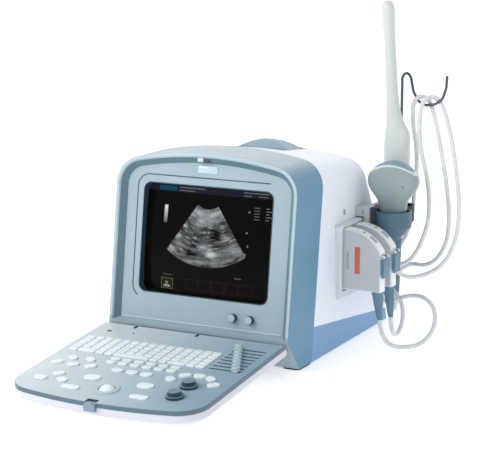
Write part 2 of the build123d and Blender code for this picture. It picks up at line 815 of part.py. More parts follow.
for name, front in zip(("connector_near", "connector_far"), connector_fronts):
    with BuildPart() as connector:
        with BuildSketch(Plane.XZ.offset(-front)):
            with BuildLine():
                Polyline((203, 147), (connector_outer, connector_low), (plate_floor, connector_low),
                         (plate_floor, 176), (146, 177))
                ThreePointArc((146, 177), (180, 169.6), (203, 147))
            make_face()
        extrude(amount=-connector_width)
        outer_edges = connector.edges().filter_by(
            lambda e: e.center().X > 160 and abs(e.tangent_at(0.5).Y) < 0.1)
        chamfer(outer_edges, 1.6)
        for y in (front, front + connector_width - lug_width):
            with BuildSketch(Plane.XZ.offset(-y)):
                with Locations((lever_x, lever_z)):
                    Circle(lug_radius)
                with Locations((lever_x, lever_z)):
                    Rectangle(8, 2 * lug_radius, align=(Align.MAX, Align.CENTER))
                with Locations((lever_x, lever_z)):
                    Circle(lever_pin_radius + 0.05, mode=Mode.SUBTRACT)
            extrude(amount=-lug_width)
    finish(connector, name)

for name, front in zip(("lock_lever_near", "lock_lever_far"), connector_fronts):
    middle = front + connector_width / 2
    knuckle = connector_width / 2 - lug_width - fit_gap
    with BuildPart() as lever:
        with BuildSketch(Plane.XZ.offset(-(middle - 10.5))):
            with BuildLine():
                Polyline((204.5, lever_z - 3), (209, lever_z - 3), (210.2, 128), (209, lever_bottom),
                         (206.5, lever_bottom), (204.5, 120), close=True)
            make_face()
        extrude(amount=-21)
        chamfer(lever.faces().sort_by(Axis.X)[-1].edges(), 0.8)
        with BuildSketch(Plane.XZ.offset(-(middle - knuckle))):
            with Locations((lever_x, lever_z)):
                Circle(lug_radius - 0.2)
            with Locations((lever_x, lever_z)):
                Rectangle(4, 4, align=(Align.CENTER, Align.MAX))
        extrude(amount=-2 * knuckle)
        with BuildSketch(Plane.XZ.offset(-(front + 0.2))):
            with Locations((lever_x, lever_z)):
                Circle(lever_pin_radius)
        extrude(amount=-(connector_width - 0.4))
    finish(lever, name)

# --- Probe holder: bracket, two cups, wire hook ---
cup_near = (183.0, 276.0)
cup_far = (171.0, 327.0)
cup_top = 191.0
cup_waist = 168.0
cup_foot = 147.5
cup_radii = (27.5, 24.0)
cup_wall = 2.5
neck_radius = 9.5

for name, (x, y), cup_radius in zip(("probe_cup_near", "probe_cup_far"), (cup_near, cup_far), cup_radii):
    with BuildPart() as cup:
        with BuildSketch(Plane(origin=(x, y, 0), x_dir=(1, 0, 0), z_dir=(0, -1, 0))):
            with BuildLine():
                Polyline((neck_radius - cup_wall, cup_foot), (neck_radius, cup_foot), (cup_radius, cup_waist),
                         (cup_radius, cup_top), (cup_radius - cup_wall, cup_top),
                         (cup_radius - cup_wall, cup_waist + 1), (neck_radius - cup_wall, cup_foot + 3),
                         close=True)
            make_face()
        revolve(axis=Axis((x, y, 0), (0, 0, 1)))
    finish(cup, name)

hook_plane_y = 358.0
hook_points = ((161, 192), (161, 379), (168, 390), (175, 379), (179, 359), (187, 345), (199, 338.5),
               (214, 341), (226, 350), (231, 366), (232, 384))
with BuildPart() as holder_bracket:
    with BuildSketch(Plane.XY.offset(165)):
        with BuildLine():
            Polyline((149, 247), (158, 247), (172, 262), (164, 298), (156, 340), (166, 350), (165, 366),
                     (155, 364), (146, 354), (142, 340), (148, 298), (149, 247))
        make_face()
    extrude(amount=33)
    with BuildSketch(Plane.XY.offset(184)):
        with BuildLine():
            Polyline((130, 247), (158, 247), (158, 276), (130, 276), close=True)
        make_face()
    extrude(amount=14)
    with BuildSketch(Plane.XY.offset(160)):
        for place, cup_radius in zip((cup_near, cup_far), cup_radii):
            with Locations(place):
                Circle(cup_radius)
    extrude(amount=50, mode=Mode.SUBTRACT)
    add(outer_form, mode=Mode.SUBTRACT)
    with BuildSketch(Plane.XY.offset(192)):
        with Locations((hook_points[0][0], hook_plane_y)):
            Circle(wire_diameter / 2)
    extrude(amount=10, mode=Mode.SUBTRACT)
finish(holder_bracket, "holder_bracket")

with BuildPart() as cable_hook:
    with BuildLine(Plane.XZ.offset(-hook_plane_y)) as hook_path:
        FilletPolyline(*hook_points, radius=(6, 5.5, 6, 12, 10, 14, 14, 14, 14))
    with BuildSketch(Plane(origin=hook_path.line @ 0, z_dir=hook_path.line % 0)):
        Circle(wire_diameter / 2)
    sweep()
finish(cable_hook, "cable_hook")

# --- Convex probe ---
convex_turn = math.radians(4)
convex_plane = Plane(
    origin=(*cup_near, 0), x_dir=(math.cos(convex_turn), math.sin(convex_turn), 0),
    z_dir=(math.sin(convex_turn), -math.cos(convex_turn), 0))
head_thickness = 26.0
lens_top = 266.0
lens_joint = 253.0

with BuildPart() as lens_zone:
    with BuildSketch(convex_plane.offset(-40)):
        with BuildLine():
            ThreePointArc((-44, 228), (0, lens_joint + 4), (44, 228))
            Polyline((44, 228), (44, 300), (-44, 300), (-44, 228))
        make_face()
    extrude(amount=80)

with BuildPart() as convex_form:
    with BuildSketch(convex_plane):
        with BuildLine():
            Polyline((-13, 170), (-20, 188), (-21, 205), (-29, 216), (-37, 227), (-38, 238), (-32, 250))
            ThreePointArc((-32, 250), (0, lens_top), (32, 250))
            Polyline((32, 250), (38, 238), (37, 227), (29, 216), (21, 205), (20, 188), (13, 170), (-13, 170))
        make_face()
    extrude(amount=head_thickness / 2, both=True)

with BuildPart() as convex_probe_body:
    add(convex_form.part)
    add(lens_zone.part, mode=Mode.SUBTRACT)
finish(convex_probe_body, "convex_probe_body")

with BuildPart() as convex_probe_lens:
    add(convex_form.part)
    add(lens_zone.part, mode=Mode.INTERSECT)
finish(convex_probe_lens, "convex_probe_lens")

# --- Endocavity probe, leaning a little in its cup ---
cavity_lean = math.radians(4)
cavity_foot = 170.0
cavity_plane = Plane(
    origin=(*cup_far, cavity_foot), x_dir=(0, 1, 0), z_dir=(-math.sin(cavity_lean), 0, math.cos(cavity_lean)))
# height above the foot, half depth (y), half width (x), shift of the middle to the side away from x
cavity_sections = (
    (0, 12, 12.3, 0), (30, 14, 15, 0), (80, 16, 20, -2), (118, 15.5, 20, -4), (136, 13, 17, -4),
    (150, 11, 13, -2), (172, 9.4, 9.8, 0), (200, 8.6, 8.8, 0), (280, 8.5, 8.7, 0), (306, 9.8, 10, 0))
cavity_lens_start = 306.0
cavity_tip = 325.0

with BuildPart() as cavity_probe_body:
    for height, half_y, half_x, aside in cavity_sections:
        with BuildSketch(cavity_plane.offset(height)):
            with Locations((0, aside)):
                Ellipse(half_y, half_x)
    loft(ruled=True)
finish(cavity_probe_body, "cavity_probe_body")

with BuildPart() as cavity_probe_lens:
    with BuildSketch(cavity_plane.offset(cavity_lens_start)):
        Circle(10)
    extrude(amount=cavity_tip - cavity_lens_start)
    fillet(cavity_probe_lens.faces().sort_by(Axis.Z)[-1].edges(), 9)
finish(cavity_probe_lens, "cavity_probe_lens")

# --- Tapered reliefs at both ends of the cables ---
relief_mouth = cable_diameter / 2 + 0.6
near_relief_end = 128.0
far_relief_end = 56.0
probe_relief_top = 169.0
with BuildPart() as cable_reliefs:
    for front, end in zip(connector_fronts, relief_ends):
        y = front + connector_width / 2
        with BuildSketch(Plane(origin=(relief_x, y, relief_top), z_dir=(0, 0, -1))):
            Circle(9)
        with BuildSketch(Plane(origin=(relief_x + relief_lean, y, end), z_dir=(0, 0, -1))):
            Circle(relief_mouth)
        loft()
    for (x, y), end, wide in ((cup_near, near_relief_end, 6.4), (cup_far, far_relief_end, 6.8)):
        with BuildSketch(Plane(origin=(x, y, probe_relief_top), z_dir=(0, 0, -1))):
            Circle(wide)
        with BuildSketch(Plane(origin=(x, y, end), z_dir=(0, 0, -1))):
            Circle(relief_mouth)
        loft()
finish(cable_reliefs, "cable_reliefs")

# --- Probe cables: one free route each, from the probe over the hook to its connector ---
convex_route = (
    (183, 276, 128), (184, 278, 110), (188, 288, 94), (202, 304, 86), (221, 317, 90), (241, 322, 102),
    (257, 325, 125), (267, 326, 160), (267, 328, 208), (254, 335, 274), (238, 349, 319), (216, 368, 352),
    (198, 350, 351), (195, 343, 318), (201, 333, 278), (217, 321, 243), (227, 311, 206), (228, 304, 169),
    (216, 300, 134), (204, 297, 114), (188, 294, 106), (168, 290, 98), (155, 286, 82), (158, 281, 61),
    (178, 276, 49), (206, 270, 66), (238, 260, 72), (262, 249, 60), (268, 236, 32), (256, 216, 11),
    (236, 201, 7), (214, 194, 9), (202, 190.5, 28), (200, 190.5, 47))
cavity_route = (
    (171, 327, 56), (171, 327, 39), (164, 338, 26), (155, 354, 26), (149, 365, 39), (150, 367, 60),
    (162, 362, 84), (185, 351, 98), (210, 339, 98), (231, 336, 110), (245, 338, 137), (248, 340, 172),
    (243, 342, 216), (230, 346, 274), (219, 354, 308), (201, 368, 352), (183, 350, 351), (182, 349, 317),
    (187, 353, 283), (190, 352, 248), (184, 359, 208), (180, 363, 172), (172, 364, 140), (158, 358, 116),
    (151, 342, 98), (154, 320, 82), (170, 304, 68), (188, 296, 56), (199, 284, 42), (201, 277, 24),
    (201, 264, 11), (201, 245, 11), (201, 233, 24), (200, 232.5, 42))


def bend_radii(route):
    """Largest tangent arc at each inner point: 0.45 of the shorter run over the tangent of half the turn."""
    points = [Vector(*p) for p in route]
    radii = []
    for before, here, after in zip(points, points[1:], points[2:]):
        turn = (here - before).get_angle(after - here)
        shorter = min((here - before).length, (after - here).length)
        radii.append(0.45 * shorter / math.tan(math.radians(turn / 2)))
    return radii


for name, route in (("convex_cable", convex_route), ("cavity_cable", cavity_route)):
    radii = bend_radii(route)
    with BuildPart() as cable:
        with BuildLine() as path:
            FilletPolyline(*route, radius=radii)
        with BuildSketch(Plane(origin=path.line @ 0, z_dir=path.line % 0)):
            Circle(cable_diameter / 2)
        sweep()
    length = sum(edge.length for edge in path.edges())
    volume_ratio = cable.part.volume / (math.pi * cable_diameter**2 / 4 * length)
    print(name, "length", round(length), "volume ratio", round(volume_ratio, 4))
    print("radii", [round(r) for r in radii])
    finish(cable, name)

# --- Move everything so that the origin is under the middle of the box without the cables ---
solid_boxes = [piece.bounding_box() for piece in pieces if not piece.label.endswith("_cable")]
shift_x = -(min(b.min.X for b in solid_boxes) + max(b.max.X for b in solid_boxes)) / 2
shift_y = -(min(b.min.Y for b in solid_boxes) + max(b.max.Y for b in solid_boxes)) / 2
shift_z = -min(b.min.Z for b in solid_boxes)
print("shift", round(shift_x, 3), round(shift_y, 3), round(shift_z, 3))

os.makedirs("parts", exist_ok=True)
for piece in pieces:
    moved = piece.moved(Location((shift_x, shift_y, shift_z)))
    moved.label = piece.label
    export_step(moved, f"parts/{piece.label}.step")
print(len(pieces), "pieces")
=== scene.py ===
"""Looks of the ultrasound scanner: materials, screen picture, probes, cables and small trim."""
import json
import math

import bmesh
import bpy
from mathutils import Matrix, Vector


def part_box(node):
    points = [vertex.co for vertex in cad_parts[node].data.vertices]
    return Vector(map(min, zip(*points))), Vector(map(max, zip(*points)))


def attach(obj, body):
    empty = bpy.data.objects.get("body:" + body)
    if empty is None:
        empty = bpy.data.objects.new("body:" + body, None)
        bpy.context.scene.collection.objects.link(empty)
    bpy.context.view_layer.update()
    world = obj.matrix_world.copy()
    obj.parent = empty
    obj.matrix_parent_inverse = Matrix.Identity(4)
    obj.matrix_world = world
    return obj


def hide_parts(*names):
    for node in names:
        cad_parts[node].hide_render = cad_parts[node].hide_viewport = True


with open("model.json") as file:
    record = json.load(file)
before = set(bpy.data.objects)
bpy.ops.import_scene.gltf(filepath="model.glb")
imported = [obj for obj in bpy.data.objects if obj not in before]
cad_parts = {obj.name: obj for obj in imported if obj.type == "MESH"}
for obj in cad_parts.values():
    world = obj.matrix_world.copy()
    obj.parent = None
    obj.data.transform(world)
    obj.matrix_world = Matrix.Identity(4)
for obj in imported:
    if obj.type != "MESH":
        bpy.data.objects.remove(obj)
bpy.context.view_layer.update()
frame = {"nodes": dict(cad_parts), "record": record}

MM = 0.001
RIGHT, BACK, UP = Vector((1, 0, 0)), Vector((0, 1, 0)), Vector((0, 0, 1))
TILT = math.radians(7.7)
KEY_SLOPE = math.radians(6.1)
SIN, COS = math.sin(TILT), math.cos(TILT)
CABLE_DIAMETER = 6.5 * MM
PLASTIC_GRAIN = 1500
RUBBER_GRAIN = 2200
GRAIN_DEPTH = 0.2 * MM
RING_POINTS = 48

# --- Places: the housing's own millimetres (x from its middle, y from its front foot, z up) to the frame ---
FRAME_LOW, FRAME_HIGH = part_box("front_frame")
FEET_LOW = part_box("feet")[0]
FOOT_FRONT = 45 * MM
ORIGIN = Vector(((FRAME_LOW[0] + FRAME_HIGH[0]) / 2, FEET_LOW[1] - FOOT_FRONT, 0.0))
RIM_NORMAL = Vector((0, -COS, SIN))
RIM_UP = Vector((0, SIN, COS))
KEY_UP = Vector((0, -math.sin(KEY_SLOPE), math.cos(KEY_SLOPE)))
KEY_FORWARD = Vector((0, -math.cos(KEY_SLOPE), -math.sin(KEY_SLOPE)))
FOLD = next(j for j in frame["record"]["behaviour"]["joints"] if j["name"] == "keyboard_fold")
KEY_ORIGIN = Vector(FOLD["pos_m"]) - 5.5 * MM * KEY_FORWARD + 9.3 * MM * KEY_UP
KEY_ORIGIN.x = ORIGIN.x


def at(x, y, z):
    """Point of the housing."""
    return ORIGIN + Vector((x, y, z)) * MM


def on_rim(u, v, depth=0.0):
    """Point on the screen side: across, up the rim plane, behind it."""
    return ORIGIN + (Vector((u, 0, 0)) + RIM_UP * v - RIM_NORMAL * depth) * MM


def on_keys(x, forward, height=0.0):
    """Point on the keyboard's face."""
    return KEY_ORIGIN + (Vector((x, 0, 0)) + KEY_FORWARD * forward + KEY_UP * height) * MM


# --- Node helpers ---
def new_material(name):
    material = bpy.data.materials.new(name)
    material.use_nodes = True
    tree = material.node_tree
    return material, tree, tree.nodes["Principled BSDF"]


def node(tree, kind, **settings):
    made = tree.nodes.new(kind)
    for key, value in settings.items():
        setattr(made, key, value)
    return made


def math_node(tree, operation, a, b=None, c=None, clamp=False):
    made = node(tree, "ShaderNodeMath", operation=operation, use_clamp=clamp)
    for socket, value in zip(made.inputs, (a, b, c)):
        if value is None:
            continue
        if isinstance(value, (int, float)):
            socket.default_value = value
        else:
            tree.links.new(value, socket)
    return made.outputs[0]


def distance(tree, a, b):
    """Length of a flat vector from its two parts."""
    squares = math_node(tree, "ADD", math_node(tree, "MULTIPLY", a, a), math_node(tree, "MULTIPLY", b, b))
    return math_node(tree, "SQRT", squares)


def mix_colour(tree, factor, a, b):
    made = node(tree, "ShaderNodeMix", data_type="RGBA", blend_type="MIX")
    for socket, value in ((made.inputs[0], factor), (made.inputs[6], a), (made.inputs[7], b)):
        if isinstance(value, (int, float)):
            socket.default_value = value
        elif isinstance(value, tuple):
            socket.default_value = (*value, 1)
        else:
            tree.links.new(value, socket)
    return made.outputs[2]


def noise(tree, scale, detail=2.0, roughness=0.5, vector=None):
    made = node(tree, "ShaderNodeTexNoise")
    made.inputs["Scale"].default_value = scale
    made.inputs["Detail"].default_value = detail
    made.inputs["Roughness"].default_value = roughness
    if vector is None:
        vector = node(tree, "ShaderNodeTexCoord").outputs["Object"]
    tree.links.new(vector, made.inputs["Vector"])
    return made.outputs["Fac"]


def ramp(tree, value, low, high):
    """0 below low, 1 above high, straight between."""
    made = node(tree, "ShaderNodeMapRange", clamp=True)
    made.inputs["From Min"].default_value = low
    made.inputs["From Max"].default_value = high
    tree.links.new(value, made.inputs["Value"])
    return made.outputs["Result"]


def add_bump(tree, shader, height, strength, distance):
    bump = node(tree, "ShaderNodeBump")
    bump.inputs["Strength"].default_value = strength
    bump.inputs["Distance"].default_value = distance
    tree.links.new(height, bump.inputs["Height"])
    tree.links.new(bump.outputs["Normal"], shader.inputs["Normal"])


def plastic(name, colour, rough=0.42, grain_strength=0.12, vary=0.05, coat=0.0, paint=None):
    """Moulded plastic: spark-eroded grain, slow colour drift, rubbed patches that are a little glossier."""
    material, tree, shader = new_material(name)
    drift = noise(tree, 14, 3)
    darker = tuple(c * (1 - vary) for c in colour)
    lighter = tuple(min(1, c * (1 + vary)) for c in colour)
    base = mix_colour(tree, ramp(tree, drift, 0.35, 0.65), darker, lighter)
    edge = ramp(tree, node(tree, "ShaderNodeNewGeometry").outputs["Pointiness"], 0.52, 0.60)
    base = mix_colour(tree, math_node(tree, "MULTIPLY", edge, 0.35), base, lighter)
    if paint:
        base = paint(tree, base)
    tree.links.new(base, shader.inputs["Base Color"])
    rub = noise(tree, 35, 4, 0.6)
    tree.links.new(math_node(tree, "MULTIPLY_ADD", rub, 0.16, rough - 0.08), shader.inputs["Roughness"])
    shader.inputs["Specular IOR Level"].default_value = 0.45
    shader.inputs["Coat Weight"].default_value = coat
    shader.inputs["Coat Roughness"].default_value = 0.15
    add_bump(tree, shader, noise(tree, PLASTIC_GRAIN, 2), grain_strength, GRAIN_DEPTH)
    return material


def soft_plastic(name, colour, rough=0.5):
    """Rubber and cable jacket: matt, with fine pores and faint handling marks."""
    material, tree, shader = new_material(name)
    marks = ramp(tree, noise(tree, 60, 5, 0.7), 0.45, 0.75)
    darker = tuple(c * 0.82 for c in colour)
    tree.links.new(mix_colour(tree, marks, colour, darker), shader.inputs["Base Color"])
    shader.inputs["Roughness"].default_value = rough
    shader.inputs["Subsurface Weight"].default_value = 0.05
    shader.inputs["Subsurface Scale"].default_value = 0.002
    add_bump(tree, shader, noise(tree, RUBBER_GRAIN, 2), 0.15, GRAIN_DEPTH)
    return material


def metal(name, colour, rough=0.35, stretch=(1, 1, 30)):
    """Brushed or drawn metal with streaks along one way."""
    material, tree, shader = new_material(name)
    mapping = node(tree, "ShaderNodeMapping")
    mapping.inputs["Scale"].default_value = stretch
    tree.links.new(node(tree, "ShaderNodeTexCoord").outputs["Object"], mapping.inputs["Vector"])
    streaks = noise(tree, 120, 4, 0.6, mapping.outputs["Vector"])
    darker = tuple(c * 0.75 for c in colour)
    tree.links.new(mix_colour(tree, streaks, darker, colour), shader.inputs["Base Color"])
    tree.links.new(math_node(tree, "MULTIPLY_ADD", streaks, 0.25, rough - 0.1), shader.inputs["Roughness"])
    shader.inputs["Metallic"].default_value = 1.0
    add_bump(tree, shader, streaks, 0.1, GRAIN_DEPTH)
    return material


def along(tree, direction, origin=ORIGIN):
    """Millimetres from a point along a direction of the frame, for a painted zone."""
    dot = node(tree, "ShaderNodeVectorMath", operation="DOT_PRODUCT")
    dot.inputs[1].default_value = direction
    tree.links.new(node(tree, "ShaderNodeTexCoord").outputs["Object"], dot.inputs[0])
    return math_node(tree, "MULTIPLY_ADD", dot.outputs["Value"], 1000, -Vector(direction).dot(origin) * 1000)


def facing(tree, direction):
    """How far the surface faces a direction of the frame, -1 to 1."""
    dot = node(tree, "ShaderNodeVectorMath", operation="DOT_PRODUCT")
    dot.inputs[1].default_value = direction
    tree.links.new(node(tree, "ShaderNodeNewGeometry").outputs["Normal"], dot.inputs[0])
    return dot.outputs["Value"]


def frame_paint(tree, base):
    """Front frame: outer sides darker and bluer, partly a bluer tint and partly painted shade; painted shade
    on the lower front and on the slanted face between the rim and the bezel.
    """
    across = along(tree, (1, 0, 0))
    width = math_node(tree, "ABSOLUTE", across)
    outward = math_node(tree, "MULTIPLY", math_node(tree, "SIGN", across), facing(tree, (1, 0, 0)))
    # Painted shade: the lower front below the bead, under the keyboard, goes half way to a darker tone.
    sill_shade = math_node(tree, "MULTIPLY", ramp(tree, along(tree, tuple(RIM_UP)), 57, 54), 0.5)
    base = mix_colour(tree, sill_shade, base, (0.16, 0.245, 0.29))
    # Outer sides painted darker and bluer: partly a bluer tint, partly painted shade on faces turned from the
    # light.
    base = mix_colour(tree, ramp(tree, outward, 0.1, 0.85), base, (0.095, 0.245, 0.39))
    depth = along(tree, tuple(-RIM_NORMAL))
    # Painted shade on the slanted face between the rim and the bezel, which sits back in a recess.
    wall_shade = math_node(tree, "MULTIPLY", ramp(tree, depth, 1.6, 2.4), ramp(tree, width, 139.8, 138.8))
    wall_shade = math_node(tree, "MULTIPLY", wall_shade, ramp(tree, facing(tree, (0, 0, 1)), 0.3, 0.1))
    wall_shade = math_node(tree, "MULTIPLY", wall_shade, ramp(tree, depth, 12, 11))
    return mix_colour(tree, wall_shade, base, (0.115, 0.205, 0.25))


def bezel_paint(tree, base):
    """Bezel: painted shade, dark teal, on the recessed faces round the glass."""
    across = ramp(tree, math_node(tree, "ABSOLUTE", along(tree, (1, 0, 0))), 103.4, 102.9)
    up = along(tree, tuple(RIM_UP))
    height = math_node(tree, "MULTIPLY", ramp(tree, up, 94, 94.5), ramp(tree, up, 251.6, 251.1))
    # Painted shade on the faces that step back round the glass; the front face keeps its colour.
    reveal_shade = math_node(tree, "MULTIPLY", ramp(tree, facing(tree, tuple(RIM_NORMAL)), 0.8, 0.4),
                       math_node(tree, "MULTIPLY", across, height))
    return mix_colour(tree, reveal_shade, base, (0.03, 0.075, 0.105))


def keyboard_paint(tree, base):
    """Keyboard frame: painted shade, darker and bluer towards the right and on the rolled edge."""
    # Painted shade: darker and bluer from left to right, away from the light.
    right = ramp(tree, along(tree, (1, 0, 0)), -150, 150)
    base = mix_colour(tree, right, base, (0.235, 0.355, 0.455))
    # Painted shade on the rolled edge and sides, the faces turned away from the top.
    rim = ramp(tree, facing(tree, tuple(KEY_UP)), 0.93, 0.6)
    return mix_colour(tree, rim, base, (0.085, 0.145, 0.195))


def bracket_paint(tree, base):
    """Holder bracket: light arm at the housing, black block at the far cup."""
    return mix_colour(tree, ramp(tree, along(tree, (1, 0, 0)), 157, 159), base, (0.012, 0.018, 0.024))


def connector_paint(tree, base):
    """Connector shell: painted shade on the flat front; the curved rim keeps the light base colour as a
    painted highlight.
    """
    # Painted shade: faces turned to the front go darker grey.
    front = ramp(tree, facing(tree, (0, -1, 0)), 0.6, 0.95)
    return mix_colour(tree, front, base, (0.52, 0.56, 0.60))


def knob_paint(normal):
    """Round knob: light cap, sides painted dark teal as shade."""
    def paint(tree, base):
        # Painted shade: faces turned away from the cap go dark teal.
        side = ramp(tree, facing(tree, tuple(normal)), 0.9, 0.6)
        return mix_colour(tree, side, base, (0.02, 0.055, 0.085))
    return paint


CONVEX_FOOT = at(183, 276, 0)
CONVEX_LENS_CENTRE = 203.0
CONVEX_LENS_RADIUS = 56.5


def convex_paint(tree, base):
    """Convex probe: darker neck, bluer lens band above a light moulded line, and a marker dot."""
    side = along(tree, (1, 0, 0), CONVEX_FOOT)
    rise = math_node(tree, "SUBTRACT", along(tree, (0, 0, 1), CONVEX_FOOT), CONVEX_LENS_CENTRE)
    reach = distance(tree, math_node(tree, "MULTIPLY", side, 0.96), rise)
    above = ramp(tree, rise, 14, 16)
    line_start = ramp(tree, reach, CONVEX_LENS_RADIUS - 2.2, CONVEX_LENS_RADIUS - 1.6)
    line_end = ramp(tree, reach, CONVEX_LENS_RADIUS, CONVEX_LENS_RADIUS + 0.6)
    line = math_node(tree, "MULTIPLY", math_node(tree, "SUBTRACT", line_start, line_end), above)
    lens = math_node(tree, "MULTIPLY", ramp(tree, reach, CONVEX_LENS_RADIUS, CONVEX_LENS_RADIUS + 0.8), above)
    neck = math_node(tree, "MULTIPLY", ramp(tree, rise, 22, -22), 0.8)
    base = mix_colour(tree, neck, base, (0.13, 0.21, 0.26))
    base = mix_colour(tree, lens, base, (0.21, 0.30, 0.40))
    base = mix_colour(tree, line, base, (0.62, 0.70, 0.70))
    dot = distance(tree, math_node(tree, "SUBTRACT", side, 19), math_node(tree, "SUBTRACT", rise, 26))
    return mix_colour(tree, ramp(tree, dot, 1.8, 1.2), base, (0.10, 0.14, 0.17))


def board_material():
    """Green circuit board with copper traces and pads."""
    material, tree, shader = new_material("circuit_board")
    grid = node(tree, "ShaderNodeTexBrick")
    grid.inputs["Scale"].default_value = 60
    grid.inputs["Color1"].default_value = (0.02, 0.16, 0.07, 1)
    grid.inputs["Color2"].default_value = (0.03, 0.2, 0.09, 1)
    grid.inputs["Mortar"].default_value = (0.25, 0.32, 0.1, 1)
    tree.links.new(node(tree, "ShaderNodeTexCoord").outputs["Object"], grid.inputs["Vector"])
    tree.links.new(grid.outputs["Color"], shader.inputs["Base Color"])
    shader.inputs["Roughness"].default_value = 0.4
    add_bump(tree, shader, grid.outputs["Fac"], 0.3, 0.0003)
    return material


# --- Screen picture, drawn by the shader in millimetres on the rim plane ---
FAN_APEX = (-1.0, 247.7)
FAN_NEAR, FAN_FAR = 29.0, 110.5
FAN_HALF_ANGLE = 0.604
TEXT_GREY = (0.16, 0.18, 0.21)
DOT_GREY = (0.28, 0.28, 0.28)
# Bright (or dark) spots in the fan: across, up, size, light
SCREEN_BLOBS = (
    (8, 156, 7, 1.1), (-2, 165, 10, 0.4), (-46, 178, 5, 0.7), (-35, 194, 4, 0.6), (-12, 196, 9, 0.35),
    (44, 164, 12, 0.5), (30, 182, 6, 0.4), (-56, 160, 8, 0.4), (-26, 158, 13, -0.25), (12, 184, 10, -0.2))
# Blank marks: left, right, low, high, colour; later ones cover earlier ones
SCREEN_MARKS = (
    (-103, 103, 239.5, 252, (0.013, 0.013, 0.024)), (-84, -54, 241, 247, (0.006, 0.065, 0.12)),
    (-50, -8, 245.6, 246.8, TEXT_GREY), (-50, -24, 241.4, 242.5, TEXT_GREY),
    (52, 90, 245.6, 246.8, TEXT_GREY), (52, 64, 241.4, 242.5, TEXT_GREY),
    (74, 88, 241.4, 242.5, (0.13, 0.15, 0.18)), (-69, -54, 121, 122, (0.10, 0.10, 0.11)),
    (46, 56, 125.5, 126.6, (0.14, 0.14, 0.16)),
    (-72, -52, 101.5, 116.6, (0.15, 0.15, 0.07)), (-71.2, -52.8, 102.3, 115.8, (0.01, 0.01, 0.008)),
    (-68, -57, 104, 106.5, (0.36, 0.36, 0.30)), (-65, -60, 107, 112, (0.22, 0.17, 0.13)),
    (61.5, 64, 219, 221, DOT_GREY), (60, 62.5, 190, 192, DOT_GREY),
    (62.5, 64.5, 171, 174, (0.22, 0.22, 0.22)), (58.5, 61.5, 160, 162, DOT_GREY))


